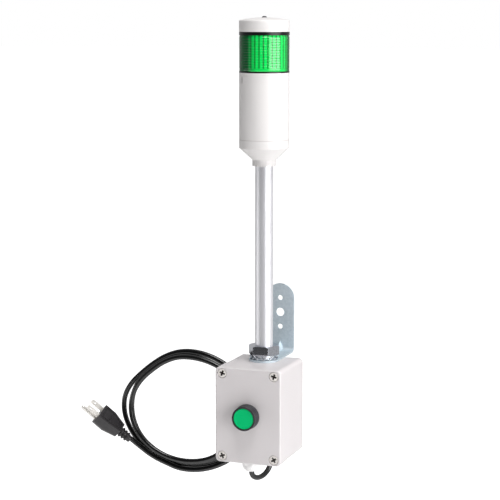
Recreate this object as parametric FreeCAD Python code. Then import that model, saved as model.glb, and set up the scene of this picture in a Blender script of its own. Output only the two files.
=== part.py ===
import FreeCAD, Part
import math
import os

# Signal tower on a pole with a push button box and a mains lead.
# X runs to the right, Y runs back towards the wall and Z runs up the pole.
# The origin is the centre of the bracket's middle hole, on the face that meets the wall.

# Fits shared by every piece
fit_gap = 0.2              # clearance all round a plain fit
thread_gap = 0.1           # clearance all round a screwed fit
run_gap = 0.08             # clearance all round the sliding stem

# Wall bracket
wall_to_pole = 60.0        # bracket back to the pole's axis
seat_to_hole = 47.3        # enclosure top to the bracket's middle hole
hole_pitch = 17.5
screw_hole_d = 6.0
middle_hole_d = 10.0
bracket_w = 35.0
bracket_t = 2.3
bend_r = 5.0               # inside radius of the bend
rib_reach = 11.0           # how far the pressed rib runs up and along
rib_half_w = 4.5

# Pole and its fasteners
pole_d = 21.0
pole_wall = 1.5
nut_af = 32.0
nut_h = 11.0
nut_chamfer = 1.6
nut_foot_chamfer = 0.3
nut_turn = 4.5             # degrees from +X to a corner
tooth_count = 14
tooth_washer_d = 33.0
tooth_ring_d = 28.0
tooth_ring_t = 1.0
tooth_w = 3.4
tooth_twist = 34.0         # degrees out of the washer's plane
flat_washer_d = 34.0
flat_washer_t = 1.6
pole_end_spare = 2.5       # thread showing past the inner nut

# Enclosure
box_w = 80.0
box_h = 112.2
box_d = 84.5
lid_d = 21.0
pole_to_front = 56.0
box_wall = 3.0
corner_r = 5.5
face_round = 2.0
base_inset = 0.7           # base body stands back from its rim
rim_d = 6.0
lid_screw_side = 8.5       # screw axis to the lid's side
lid_screw_end = 7.4        # screw axis to the lid's upper or lower end
screw_head_d = 9.8
screw_head_h = 3.0
screw_head_sink = 0.6      # head below the lid's face
screw_pocket_d = 11.6
screw_d = 4.0
screw_bite = 14.0          # screw length inside the base post
post_d = 10.0
post_len = 20.0
lid_post_d = 13.0
seal_w = 1.6
seal_t = 1.5
cross_w = 1.5              # cross recess arm width
cross_span = 6.6
cross_depth = 1.8

# Push button
button_drop = 55.6         # enclosure top to the button's axis
bezel_d = 29.2
bezel_nose_d = 28.2
bezel_reach = 14.8         # bezel in front of the lid
bezel_lip = 1.9            # wall round the cap
bezel_groove = 0.45
cap_recess = 0.3
cap_t = 2.6
cap_skirt = 1.4
cap_skirt_t = 1.6
button_gasket_t = 1.0
button_thread_d = 21.8
barrel_len = 20.0          # behind the lid's face
barrel_wall = 2.0
web_front = 6.0            # web face in front of the lid's face
web_t = 2.0
stem_d = 8.0
stem_collar_d = 12.0
stem_collar_t = 1.5
button_travel = 4.0
stem_into_block = 1.0
spring_wire_d = 0.6
spring_turns = 4
ring_nut_d = 29.0
ring_nut_h = 5.0
contact_w = 30.0
contact_h = 42.0
contact_d = 26.0
contact_screw_d = 6.0

# Gland
gland_x = -15.5
gland_af = 22.0
gland_thread_d = 18.4
gland_washer_t = 1.0
gland_hex_h = 5.5
gland_stub_h = 8.0
gland_stub_d = 17.4
gland_seal_d = 13.6
gland_bore_d = 8.4
gland_nut_gap = 0.5        # gap between the hexagon and the dome nut
gland_nut_h = 9.0
gland_dome_h = 8.0
gland_mouth_d = 11.0
gland_lock_af = 24.0
gland_lock_h = 4.5

# Lamp
lamp_rise = 228.6          # enclosure top to the lamp's lower edge
lamp_d = 58.0
lamp_wall = 2.2
collar_d = 27.5
collar_h = 7.1
cone_h = 13.7
foot_h = 9.6
spigot_h = 6.0
spigot_wall = 2.2
foot_floor = 6.0           # material above the collar under the pole's upper nut
top_nut_af = 27.0
top_nut_h = 5.0
pole_above_nut = 1.5
body_h = 74.1
light_flange_h = 2.8
light_floor_t = 2.5
light_spigot_h = 5.0
light_boss_d = 12.0
light_boss_h = 4.0
upstand_h = 5.0
upstand_t = 1.6
seam_groove = 0.35
ring_low_h = 1.7
lens_h = 41.0
lens_d = 57.4
lens_wall = 2.6
lens_band_low = 3.6
lens_band_top = 2.4
rib_count = 11
rib_depth = 0.35
flute_count = 36
flute_d = 3.4
ring_top_h = 3.8
cap_h = 13.4
cap_dome = 2.9
cap_edge_r = 1.5
cap_spigot_h = 4.0
cap_boss_d = 11.0
cap_boss_drop = 9.0
rod_d = 7.0
cap_screw_d = 4.0
cap_screw_head_d = 6.0
cap_screw_head_h = 1.3
cap_screw_len = 16.0
mark_w = 0.8
mark_h = 7.5
mark_depth = 0.35
mark_turn = -131.7         # degrees round the lamp, from +X

# Light and driver boards
board_t = 1.6
light_board_d = 47.0
led_count = 12
led_d = 5.0
led_h = 5.5
led_ring_d = 36.0
reflector_t = 1.2
reflector_low_d = 9.0
reflector_top_d = 40.0
reflector_foot_h = 10.0
driver_w = 46.0
driver_h = 56.0
guide_w = 5.0
guide_t = 5.6
guide_bite = 3.0           # how far a board edge sits in its guide
capacitor_d = 10.0
capacitor_h = 16.0
choke_d = 18.0
choke_hole_d = 8.0
choke_h = 7.0
plug_block_w = 14.0
plug_block_h = 9.0
plug_block_d = 8.0
wire_d = 1.8
wire_hold = 4.0            # wire end inside a terminal
wire_rise = 6.0            # straight stretch out of the contact block
wire_bow = 8.0
wire_drop = 12.0
wire_fan = 9.0             # straight stretch above the terminal block

# Terminal block
terminal_w = 26.0
terminal_h = 20.0
terminal_d = 16.0
terminal_drop = 50.0       # enclosure top to the block's upper face
terminal_pitch = 6.0
terminal_screw_d = 3.6
terminal_screw_h = 0.8

# Mains lead and plug
cord_d = 6.4
coil_x = -117.0
coil_z = -129.0
coil_half_w = 87.7
coil_half_h = 74.9
coil_inset = 12.8          # outer turn to inner turn
coil_front_y = -17.0       # first turn
coil_back_y = -4.5         # last turn
coil_tail_y = -10.0        # where the lead leaves the last turn
coil_round = 2.0
plug_face = (-225.6, -32.0, -135.5)
plug_forward = (-0.70, -0.26, 0.66)
plug_ground_way = (-0.71, 0.26, -0.65)
plug_w = 24.0
plug_flat = 5.5            # flat side to the blade line
plug_round_at = 5.0        # centre of the rounded side
plug_front_len = 15.5
plug_taper_len = 18.0
plug_tail_w = 15.0
plug_tail_flat = 4.0
plug_edge_r = 1.2
face_margin = 3.0          # face frame inside the plug's edges
face_line_w = 1.0
face_line_depth = 0.8
plug_axis_drop = 2.0       # lead axis to the blade line
relief_len = 17.0
relief_d = 10.4
relief_ring_d = 13.2
relief_tip_d = 8.4
relief_rings = 3
blade_pitch = 12.7
blade_w = 6.35
blade_t = 1.5
blade_len = 17.5
blade_hole_d = 3.2
blade_hole_at = 12.0
blade_root = 8.0
earth_drop = 11.9
earth_d = 4.8
earth_len = 22.2

# Places that follow from the sizes
pole_r = pole_d / 2.0
pole_y = -wall_to_pole
seat_z = -seat_to_hole
box_cz = seat_z - box_h / 2.0
box_low = seat_z - box_h
lid_screw_x = box_w / 2.0 - lid_screw_side
lid_screw_z = box_h / 2.0 - lid_screw_end
front_y = pole_y - pole_to_front
seam_y = front_y + lid_d
back_y = front_y + box_d
inner_back_y = back_y - box_wall
top_in_z = seat_z - base_inset - box_wall
low_in_z = box_low + base_inset + box_wall
base_top_z = seat_z - base_inset
base_low_z = box_low + base_inset
twist_rad = math.radians(tooth_twist)
washer_rise = tooth_w * math.sin(twist_rad) + tooth_ring_t * math.cos(twist_rad)
bracket_z = base_top_z
washers_z = bracket_z + bracket_t
pole_nut_z = washers_z + 2.0 * washer_rise
inner_washer_z = top_in_z - flat_washer_t
inner_nut_z = inner_washer_z - nut_h
pole_low = inner_nut_z - pole_end_spare
foot_z = seat_z + lamp_rise
foot_cone_z = foot_z + collar_h
foot_edge_z = foot_cone_z + cone_h
body_z = foot_edge_z + foot_h
foot_seat_z = foot_cone_z + foot_floor
pole_top = foot_seat_z + top_nut_h + pole_above_nut
light_z = body_z + body_h
light_top = light_z + light_flange_h
lens_z = light_top + ring_low_h
lens_top = lens_z + lens_h
cap_z = lens_top + ring_top_h
cap_shoulder = cap_z + cap_h
cap_crest = cap_shoulder + cap_dome
boss_low = cap_shoulder - cap_boss_drop
lamp_r = lamp_d / 2.0
lens_in_r = lens_d / 2.0 - lens_wall
upstand_r = lens_in_r - fit_gap
body_in_r = lamp_r - lamp_wall
board_z = light_top + light_boss_h
button_z = seat_z - button_drop
X = FreeCAD.Vector(1, 0, 0)
Y = FreeCAD.Vector(0, 1, 0)
Z = FreeCAD.Vector(0, 0, 1)


def vec(x, y, z):
    return FreeCAD.Vector(x, y, z)


def save(name, shape):
    """Write one piece to its own file."""
    clean = shape.removeSplitter()
    if clean.isValid():
        shape = clean
    solids = shape.Solids
    shape = solids[0] if len(solids) == 1 else Part.makeCompound(solids)
    shape.exportStep("parts/%s.step" % name)
    print("%-18s solids %d  volume %.0f mm3  valid %s" % (name, len(solids), shape.Volume, shape.isValid()))


def rod_z(r, low, high, x=0.0, y=pole_y):
    """Upright round bar."""
    return Part.makeCylinder(r, high - low, vec(x, y, low), Z)


def rod_y(r, front, back, x, z):
    """Round bar that runs from front to back."""
    return Part.makeCylinder(r, back - front, vec(x, front, z), Y)


def block(low, high):
    """Box between two corners."""
    return Part.makeBox(high[0] - low[0], high[1] - low[1], high[2] - low[2], vec(*low))


def outline(points):
    """Closed face through points; an item of two vectors is an arc's middle and end."""
    edges = []
    start = points[0]
    last = start
    for item in points[1:] + [start]:
        if isinstance(item, tuple):
            edges.append(Part.Arc(last, item[0], item[1]).toShape())
            last = item[1]
        elif last.distanceToPoint(item) > 1e-6:
            edges.append(Part.LineSegment(last, item).toShape())
            last = item
    return Part.Face(Part.Wire(edges))


def turned(profile, x=0.0, y=pole_y):
    """Solid turned about an upright axis from (radius, height) points."""
    points = [vec(x + r, y, z) for r, z in profile]
    return outline(points).revolve(vec(x, y, 0), Z, 360)


def turned_y(profile, x, z):
    """Solid turned about a front to back axis from (radius, depth) points."""
    points = [vec(x + r, depth, z) for r, depth in profile]
    return outline(points).revolve(vec(x, 0, z), Y, 360)


def hexagon(af, low, high, x=0.0, y=pole_y, turn=0.0):
    """Upright hexagonal bar across flats af."""
    r = af / math.sqrt(3.0)
    corners = []
    for i in range(6):
        a = math.radians(turn + 60.0 * i)
        corners.append(vec(x + r * math.cos(a), y + r * math.sin(a), low))
    return outline(corners).extrude(vec(0, 0, high - low))


def hex_nut(af, bore_r, low, height, chamfer, x=0.0, y=pole_y, turn=0.0, foot=None):
    """Hexagon nut with both faces chamfered; foot is the lower face's own chamfer."""
    r = af / math.sqrt(3.0)
    slope = 0.58
    foot = chamfer if foot is None else foot
    keep = turned([(0, low), (r - foot, low), (r, low + foot * slope), (r, low + height - chamfer * slope),
                   (r - chamfer, low + height), (0, low + height)], x, y)
    nut = hexagon(af, low, low + height, x, y, turn).common(keep)
    return nut.cut(rod_z(bore_r, low - 1, low + height + 1, x, y))


def rounded_slab(w, h, r, front, back, cz):
    """Slab with rounded corners seen from the front, centred on the enclosure."""
    a = w / 2.0
    b = h / 2.0
    k = r * (1.0 - math.sqrt(0.5))
    p = [vec(-a + r, front, cz - b), vec(a - r, front, cz - b),
         (vec(a - k, front, cz - b + k), vec(a, front, cz - b + r)), vec(a, front, cz + b - r),
         (vec(a - k, front, cz + b - k), vec(a - r, front, cz + b)), vec(-a + r, front, cz + b),
         (vec(-a + k, front, cz + b - k), vec(-a, front, cz + b - r)), vec(-a, front, cz - b + r),
         (vec(-a + k, front, cz - b + k), vec(-a + r, front, cz - b))]
    return outline(p).extrude(vec(0, back - front, 0))


def round_loop(solid, depth, radius):
    """Round the outer edges that lie in one plane of the depth axis."""
    box = solid.BoundBox
    edges = []
    for edge in solid.Edges:
        flat = abs(edge.BoundBox.YMin - depth) < 1e-4 and abs(edge.BoundBox.YMax - depth) < 1e-4
        if flat:
            edges.append(edge)
    return solid.makeFillet(min(radius, box.XLength / 10.0), edges)


def path_wire(points):
    """Straight runs joined by tangent arcs, each as large as its two runs allow."""
    edges = []
    radii = []
    last = points[0]
    for i in range(1, len(points) - 1):
        before = points[i - 1] - points[i]
        after = points[i + 1] - points[i]
        half = (math.pi - before.getAngle(after)) / 2.0
        reach = 0.45 * min(before.Length, after.Length)
        radius = reach / math.tan(half)
        radii.append(radius)
        a = points[i] + before.normalize() * reach
        b = points[i] + after.normalize() * reach
        inward = (before + after).normalize()
        middle = points[i] + inward * (radius / math.cos(half) - radius)
        edges.append(Part.LineSegment(last, a).toShape())
        edges.append(Part.Arc(a, middle, b).toShape())
        last = b
    edges.append(Part.LineSegment(last, points[-1]).toShape())
    return Part.Wire(edges), radii


def tube_along(name, points, diameter):
    """Round tube along a route; prints its tightest bend and compares its volume."""
    wire, radii = path_wire(points)
    way = (points[1] - points[0]).normalize()
    ring = Part.Wire(Part.makeCircle(diameter / 2.0, points[0], way))
    tube = wire.makePipeShell([ring], True, False)
    expected = math.pi * diameter * diameter / 4.0 * wire.Length
    print("%s length %.1f mm, radii %s, volume ratio %.4f" % (
        name, wire.Length, " ".join("%.0f" % r for r in radii), tube.Volume / expected))
    return tube


def cross_recess(x, z, face):
    """Cross shaped driver recess, cut from a screw head's face."""
    half = cross_span / 2.0
    arm = cross_w / 2.0
    a = block((x - half, face - 1, z - arm), (x + half, face + cross_depth, z + arm))
    b = block((x - arm, face - 1, z - half), (x + arm, face + cross_depth, z + half))
    return a.fuse(b)


# Wall bracket: one folded strip with a rounded end on each leg
def make_bracket():
    half = bracket_w / 2.0
    t = bracket_t
    out_r = bend_r + t
    top = hole_pitch
    k_out = out_r * (1.0 - math.sqrt(0.5))
    k_in = bend_r * (1.0 - math.sqrt(0.5))
    z0 = bracket_z
    y0 = pole_y
    profile = [vec(-half, 0, top), vec(-half, -t, top), vec(-half, -t, z0 + out_r),
               (vec(-half, -t - k_in, z0 + t + k_in), vec(-half, -out_r, z0 + t)),
               vec(-half, y0, z0 + t), vec(-half, y0, z0), vec(-half, -out_r, z0),
               (vec(-half, -k_out, z0 + k_out), vec(-half, 0, z0 + out_r))]
    strip = outline(profile).extrude(vec(bracket_w, 0, 0))
    strip = strip.fuse([rod_y(half, -t, 0, 0, top), rod_z(half, z0, z0 + t)])

    def rib(shift):
        s = rib_reach
        y = -t + shift
        z = z0 + t - shift
        up = vec(0, y, z + s)
        along = vec(0, y - s, z)
        left = vec(-rib_half_w, y, z)
        right = vec(rib_half_w, y, z)
        faces = [(up, along, left), (up, right, along), (left, along, right), (up, left, right)]
        shell = Part.makeShell([Part.Face(Part.makePolygon([a, b, c, a])) for a, b, c in faces])
        solid = Part.makeSolid(shell)
        return solid if solid.Volume > 0 else solid.reversed()

    strip = strip.fuse(rib(0.0)).cut(rib(t))
    holes = [rod_y(screw_hole_d / 2.0, -t - 1, 1, 0, hole_pitch),
             rod_y(screw_hole_d / 2.0, -t - 1, 1, 0, -hole_pitch),
             rod_y(middle_hole_d / 2.0, -t - 1, 1, 0, 0),
             rod_z(pole_r + fit_gap, z0 - 1, z0 + t + 1)]
    return strip.cut(holes)


# Pole: drawn tube, its two ends screwed into nuts
def make_pole():
    tube = rod_z(pole_r, pole_low, pole_top)
    return tube.cut(rod_z(pole_r - pole_wall, pole_low - 1, pole_top + 1))


def tooth_washer(low, way):
    """Washer whose outer teeth are all twisted one way."""
    middle = low + washer_rise / 2.0
    ring = rod_z(tooth_ring_d / 2.0, middle - tooth_ring_t / 2.0, middle + tooth_ring_t / 2.0)
    root = tooth_ring_d / 2.0 - 1.0
    tip = tooth_washer_d / 2.0
    teeth = []
    for i in range(tooth_count):
        near = vec(root, -tooth_w / 2.0, -tooth_ring_t / 2.0)
        tooth = Part.makeBox(tip - root, tooth_w, tooth_ring_t, near)
        tooth.rotate(vec(0, 0, 0), X, way * tooth_twist)
        tooth.rotate(vec(0, 0, 0), Z, 360.0 * (i + 0.25 * way) / tooth_count)
        tooth.translate(vec(0, pole_y, middle))
        teeth.append(tooth)
    return ring.fuse(teeth).cut(rod_z(pole_r + fit_gap, low - 1, low + washer_rise + 1))


def make_inner_washer():
    ring = rod_z(flat_washer_d / 2.0, inner_washer_z, top_in_z)
    return ring.cut(rod_z(pole_r + fit_gap, inner_washer_z - 1, top_in_z + 1))


# Enclosure
def screw_places():
    return [(sx * lid_screw_x, box_cz + sz * lid_screw_z) for sx in (-1, 1) for sz in (-1, 1)]


def make_base():
    inner_w = box_w - 2.0 * (base_inset + box_wall)
    inner_h = box_h - 2.0 * (base_inset + box_wall)
    inner_r = max(corner_r - base_inset - box_wall, 1.0)
    rim = rounded_slab(box_w, box_h, corner_r, seam_y, seam_y + rim_d, box_cz)
    body = rounded_slab(box_w - 2 * base_inset, box_h - 2 * base_inset, corner_r - base_inset,
                        seam_y + rim_d, back_y, box_cz)
    body = round_loop(body, back_y, face_round)
    shell = rim.fuse(body).cut(rounded_slab(inner_w, inner_h, inner_r, seam_y - 1, inner_back_y, box_cz))
    posts = [rod_y(post_d / 2.0, seam_y, seam_y + post_len, x, z) for x, z in screw_places()]
    shell = shell.fuse(posts)
    hole_end = seam_y + screw_bite + 2.0
    cuts = [rod_y(screw_d / 2.0 + thread_gap, seam_y - 1, hole_end, x, z) for x, z in screw_places()]
    cuts.append(rod_z(pole_r + fit_gap, top_in_z - 1, seat_z + 1))
    cuts.append(rod_z(gland_thread_d / 2.0 + fit_gap, box_low - 1, low_in_z + 1, gland_x))
    return shell.cut(cuts)


def make_lid():
    outer = rounded_slab(box_w, box_h, corner_r, front_y, seam_y, box_cz)
    outer = round_loop(outer, front_y, face_round)
    cavity = rounded_slab(box_w - 2 * box_wall, box_h - 2 * box_wall, corner_r - box_wall,
                          front_y + box_wall, seam_y + 1, box_cz)
    posts = [rod_y(lid_post_d / 2.0, front_y + box_wall - 1, seam_y, x, z) for x, z in screw_places()]
    inside = rounded_slab(box_w - box_wall, box_h - box_wall, corner_r - box_wall / 2.0,
                          front_y + 1, seam_y, box_cz)
    lid = outer.cut(cavity)
    lid = lid.fuse([post.common(inside) for post in posts])
    button_hole_r = button_thread_d / 2.0 + fit_gap
    cuts = [lid_seal(), rod_y(button_hole_r, front_y - 1, front_y + box_wall + 1, 0, button_z)]
    for x, z in screw_places():
        cuts.append(rod_y(screw_pocket_d / 2.0, front_y - 1, front_y + screw_head_sink + screw_head_h, x, z))
        cuts.append(rod_y(screw_d / 2.0 + fit_gap, front_y, seam_y + 1, x, z))
    return lid.cut(cuts)


def lid_seal():
    """Seal strip in the lid's rebate, pressed on the base's rim."""
    margin = box_wall - seal_w
    outer = rounded_slab(box_w - 2 * margin, box_h - 2 * margin, corner_r - margin, seam_y - seal_t,
                         seam_y, box_cz)
    inner = rounded_slab(box_w - 2 * box_wall, box_h - 2 * box_wall, corner_r - box_wall,
                         seam_y - seal_t - 1, seam_y + 1, box_cz)
    return outer.cut(inner)


def make_lid_screws():
    screws = []
    face = front_y + screw_head_sink
    r = screw_head_d / 2.0
    for x, z in screw_places():
        head = turned_y([(0, face), (r - 1.0, face), (r, face + 1.0), (r, face + screw_head_h),
                         (screw_d / 2.0, face + screw_head_h), (screw_d / 2.0, seam_y + screw_bite),
                         (0, seam_y + screw_bite)], x, z)
        screws.append(head.cut(cross_recess(x, z, face)))
    return Part.makeCompound(screws)


# Push button
def make_bezel():
    f = front_y
    outer = bezel_d / 2.0
    nose = bezel_nose_d / 2.0
    g = bezel_groove
    bore = nose - bezel_lip
    web = f - web_front
    barrel_in = button_thread_d / 2.0 - barrel_wall
    tip = f - bezel_reach
    step = (bezel_reach - button_gasket_t) / 5.0
    back = f - button_gasket_t
    profile = [(bore, tip), (nose - 0.5, tip), (nose, tip + 0.5), (nose, tip + step),
               (nose - g, tip + step + 0.4), (nose + 0.2, tip + 2 * step),
               (nose - g + 0.2, tip + 2 * step + 0.4),
               (nose + 0.4, tip + 3 * step), (nose - g + 0.4, tip + 3 * step + 0.4),
               (outer, tip + 4 * step), (outer, back), (button_thread_d / 2.0, back),
               (button_thread_d / 2.0, f + barrel_len), (barrel_in, f + barrel_len),
               (barrel_in, web + web_t), (stem_d / 2.0 + run_gap, web + web_t),
               (stem_d / 2.0 + run_gap, web), (bore, web)]
    return turned_y(profile, 0, button_z)


def make_button_gasket():
    ring = rod_y(bezel_d / 2.0 - 0.6, front_y - button_gasket_t, front_y, 0, button_z)
    return ring.cut(rod_y(button_thread_d / 2.0 + thread_gap, front_y - 5, front_y + 1, 0, button_z))


def make_button_cap():
    r = bezel_nose_d / 2.0 - bezel_lip - fit_gap
    face = front_y - bezel_reach + cap_recess
    under = face + cap_t
    skirt = under + cap_skirt
    profile = [(0, face + 0.25), (r - 1.9, face + 0.25), (r - 1.5, face), (r - 0.5, face), (r, face + 0.5),
               (r, skirt), (r - cap_skirt_t, skirt), (r - cap_skirt_t, under), (0, under)]
    return turned_y(profile, 0, button_z)


def make_plunger():
    under = front_y - bezel_reach + cap_recess + cap_t
    web_back = front_y - web_front + web_t
    collar = web_back + fit_gap / 2.0
    tip = front_y + barrel_len + stem_into_block
    r = stem_d / 2.0
    return turned_y([(0, under), (r, under), (r, collar), (stem_collar_d / 2.0, collar),
                     (stem_collar_d / 2.0, collar + stem_collar_t), (r, collar + stem_collar_t), (r, tip),
                     (0, tip)], 0, button_z)


def make_button_spring():
    under = front_y - bezel_reach + cap_recess + cap_t
    web = front_y - web_front
    coil_r = stem_d / 2.0 + 1.6
    low = under + spring_wire_d / 2.0 + 0.05
    high = web - spring_wire_d / 2.0 - 0.05
    pitch = (high - low) / spring_turns
    halves = []
    for i in range(2 * spring_turns):
        half = Part.makeHelix(pitch, pitch / 2.0, coil_r)
        half.rotate(vec(0, 0, 0), Z, 180.0 * i)
        half.translate(vec(0, 0, pitch * i / 2.0))
        halves.append(half.Edges[0])
    start = halves[0].FirstParameter
    ring = Part.makeCircle(spring_wire_d / 2.0, halves[0].valueAt(start), halves[0].tangentAt(start))
    spring = Part.Wire(halves).makePipeShell([Part.Wire(ring)], True, True)
    spring.rotate(vec(0, 0, 0), X, -90)
    spring.translate(vec(0, low, button_z))
    return spring


def make_ring_nut():
    face = front_y + box_wall
    ring = rod_y(ring_nut_d / 2.0, face, face + ring_nut_h, 0, button_z)
    ring = ring.cut(rod_y(button_thread_d / 2.0 + thread_gap, face - 1, face + ring_nut_h + 1, 0, button_z))
    notches = []
    for i in range(6):
        notch = block((ring_nut_d / 2.0 - 1.4, face - 1, button_z - 1.5),
                      (ring_nut_d, face + ring_nut_h + 1, button_z + 1.5))
        notch.rotate(vec(0, 0, button_z), Y, 60.0 * i)
        notches.append(notch)
    return ring.cut(notches)


def contact_place():
    return front_y + barrel_len


def make_contact_block():
    f = contact_place()
    body = block((-contact_w / 2.0, f, button_z - contact_h / 2.0),
                 (contact_w / 2.0, f + contact_d, button_z + contact_h / 2.0))
    cuts = [rod_y(stem_d / 2.0 + run_gap, f - 1, f + stem_into_block + button_travel + 1.5, 0, button_z)]
    for x, z in contact_screw_places():
        cuts.append(rod_y(contact_screw_d / 2.0 + fit_gap, f + contact_d - 3.0, f + contact_d + 1, x, z))
    for side in (-1, 1):
        x = side * contact_w / 4.0
        top = button_z + contact_h / 2.0
        cuts.append(rod_z(wire_d / 2.0 + fit_gap, top - 4.0, top + 1, x, f + contact_d - 8.0))
    return body.cut(cuts)


def contact_screw_places():
    side = contact_w / 4.0
    rise = contact_h / 2.0 - 7.0
    return [(sx * side, button_z + sz * rise) for sx in (-1, 1) for sz in (-1, 1)]


def make_contact_screws():
    f = contact_place() + contact_d
    screws = []
    for x, z in contact_screw_places():
        head = rod_y(contact_screw_d / 2.0, f - 3.0, f - 0.6, x, z)
        slot = block((x - contact_screw_d, f - 1.6, z - 0.4), (x + contact_screw_d, f + 1, z + 0.4))
        screws.append(head.cut(slot))
    return Part.makeCompound(screws)


# Gland, from the enclosure's bottom wall downwards
gland_top = base_low_z
gland_hex_z = gland_top - gland_washer_t - gland_hex_h
gland_stub_z = gland_hex_z - gland_stub_h
gland_nut_z = gland_hex_z - gland_nut_gap
gland_dome_z = gland_nut_z - gland_nut_h
gland_mouth_z = gland_dome_z - gland_dome_h
seal_high = gland_hex_z - 2.0
seal_low = gland_stub_z - 3.0


def make_gland_body():
    stub_r = gland_stub_d / 2.0
    top = low_in_z + gland_lock_h + 1.5
    hexa = hexagon(gland_af, gland_hex_z, gland_top - gland_washer_t, gland_x)
    thread = rod_z(gland_thread_d / 2.0, gland_hex_z, top, gland_x)
    stub = rod_z(stub_r, gland_stub_z, gland_hex_z + 1, gland_x)
    body = hexa.fuse([thread, stub])
    cuts = [rod_z(gland_bore_d / 2.0, gland_stub_z - 1, top + 1, gland_x),
            rod_z(gland_seal_d / 2.0 + fit_gap, gland_stub_z - 1, seal_high + fit_gap, gland_x)]
    return body.cut(cuts)


def make_gland_nut():
    r = gland_af / math.sqrt(3.0)
    flat_r = gland_af / 2.0
    hexa = hexagon(gland_af, gland_dome_z, gland_nut_z, gland_x)
    keep = turned([(0, gland_dome_z), (flat_r, gland_dome_z), (r, gland_dome_z + 2.5),
                   (r, gland_nut_z - 0.6), (r - 1.0, gland_nut_z), (0, gland_nut_z)], gland_x)
    mouth_r = gland_mouth_d / 2.0
    bulge = vec(gland_x + mouth_r + (flat_r - mouth_r) * 0.80, pole_y, gland_dome_z - gland_dome_h * 0.55)
    dome = outline([vec(gland_x, pole_y, gland_dome_z), vec(gland_x + flat_r, pole_y, gland_dome_z),
                    (bulge, vec(gland_x + mouth_r, pole_y, gland_mouth_z)),
                    vec(gland_x, pole_y, gland_mouth_z)]).revolve(vec(gland_x, pole_y, 0), Z, 360)
    nut = hexa.common(keep).fuse(dome)
    cuts = [rod_z(gland_stub_d / 2.0 + thread_gap, gland_stub_z - 0.3, gland_nut_z + 1, gland_x),
            rod_z(gland_seal_d / 2.0 + fit_gap, seal_low - fit_gap, gland_nut_z, gland_x),
            rod_z(cord_d / 2.0 + fit_gap, gland_mouth_z - 1, gland_nut_z, gland_x)]
    return nut.cut(cuts)


def make_gland_seal():
    sleeve = rod_z(gland_seal_d / 2.0, seal_low, seal_high, gland_x)
    return sleeve.cut(rod_z(cord_d / 2.0 + thread_gap / 2.0, seal_low - 1, seal_high + 1, gland_x))


def make_gland_washer():
    ring = rod_z(gland_af / 2.0, gland_top - gland_washer_t, gland_top, gland_x)
    return ring.cut(rod_z(gland_thread_d / 2.0 + thread_gap, gland_top - 5, gland_top + 1, gland_x))


# Lamp foot: collar on the pole, cone and lower edge of the body
def make_foot():
    bore = pole_r + fit_gap
    spigot_r = body_in_r - fit_gap
    inner = spigot_r - spigot_wall
    top = body_z + spigot_h
    slope = (lamp_r - collar_d / 2.0) / cone_h
    floor_r = top_nut_af / math.sqrt(3.0) + 1.0
    wall_z = foot_cone_z + (inner + 3.2 - collar_d / 2.0) / slope
    return turned([(bore, foot_z), (collar_d / 2.0, foot_z), (collar_d / 2.0, foot_cone_z),
                   (lamp_r, foot_edge_z), (lamp_r, body_z), (spigot_r, body_z), (spigot_r, top),
                   (inner, top), (inner, max(wall_z, foot_seat_z + 1.0)), (floor_r, foot_seat_z),
                   (bore, foot_seat_z)])


def make_body():
    tube = turned([(body_in_r, body_z), (lamp_r, body_z), (lamp_r, light_z - 0.6),
                   (lamp_r - seam_groove, light_z), (body_in_r, light_z)])
    guides = []
    for side in (-1, 1):
        edge = side * (driver_w / 2.0)
        inner = edge - side * guide_bite
        outer = side * (body_in_r + lamp_wall / 2.0)
        low_x, high_x = sorted((inner, outer))
        guide = block((low_x, pole_y - guide_t / 2.0, driver_low() - 1.0),
                      (high_x, pole_y + guide_t / 2.0, driver_low() + driver_h))
        guides.append(guide)
    body = tube.fuse(guides)
    half = board_t / 2.0 + fit_gap / 2.0
    slot = block((-driver_w / 2.0 - fit_gap, pole_y - half, driver_low()),
                 (driver_w / 2.0 + fit_gap, pole_y + half, driver_low() + driver_h + 1))
    mark_top = light_z - 2.0
    mark = block((lamp_r - mark_depth, -mark_w / 2.0, mark_top - mark_h),
                 (lamp_r + 1, mark_w / 2.0, mark_top))
    mark.rotate(vec(0, 0, 0), Z, mark_turn)
    mark.translate(vec(0, pole_y, 0))
    return body.cut([slot, mark])


def driver_low():
    return body_z + spigot_h + 3.0


# Light unit: base with upstand, rings, lens and cap
def make_light_base():
    spigot_r = body_in_r - fit_gap
    low = light_z - light_spigot_h
    floor = light_top - light_floor_t
    base = turned([(0, floor), (spigot_r - 2.0, floor), (spigot_r - 2.0, low), (spigot_r, low),
                   (spigot_r, light_z), (lamp_r, light_z), (lamp_r, light_top), (upstand_r, light_top),
                   (upstand_r, light_top + upstand_h), (upstand_r - upstand_t, light_top + upstand_h),
                   (upstand_r - upstand_t, light_top), (light_boss_d / 2.0, light_top),
                   (light_boss_d / 2.0, board_z), (0, board_z)])
    holes = [rod_z(wire_d / 2.0 + fit_gap, low - 1, board_z + 1, x, led_wire_y()) for x in led_wire_x()]
    return base.cut(holes)


def led_wire_x():
    step = light_boss_d / 2.0 + 2.0
    return [-step, step]


def led_wire_y():
    return pole_y - (board_t + wire_d + thread_gap) / 2.0


def black_ring(low, high):
    ring = rod_z(lamp_r, low, high)
    return ring.cut(rod_z(upstand_r + fit_gap / 2.0, low - 1, high + 1))


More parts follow.
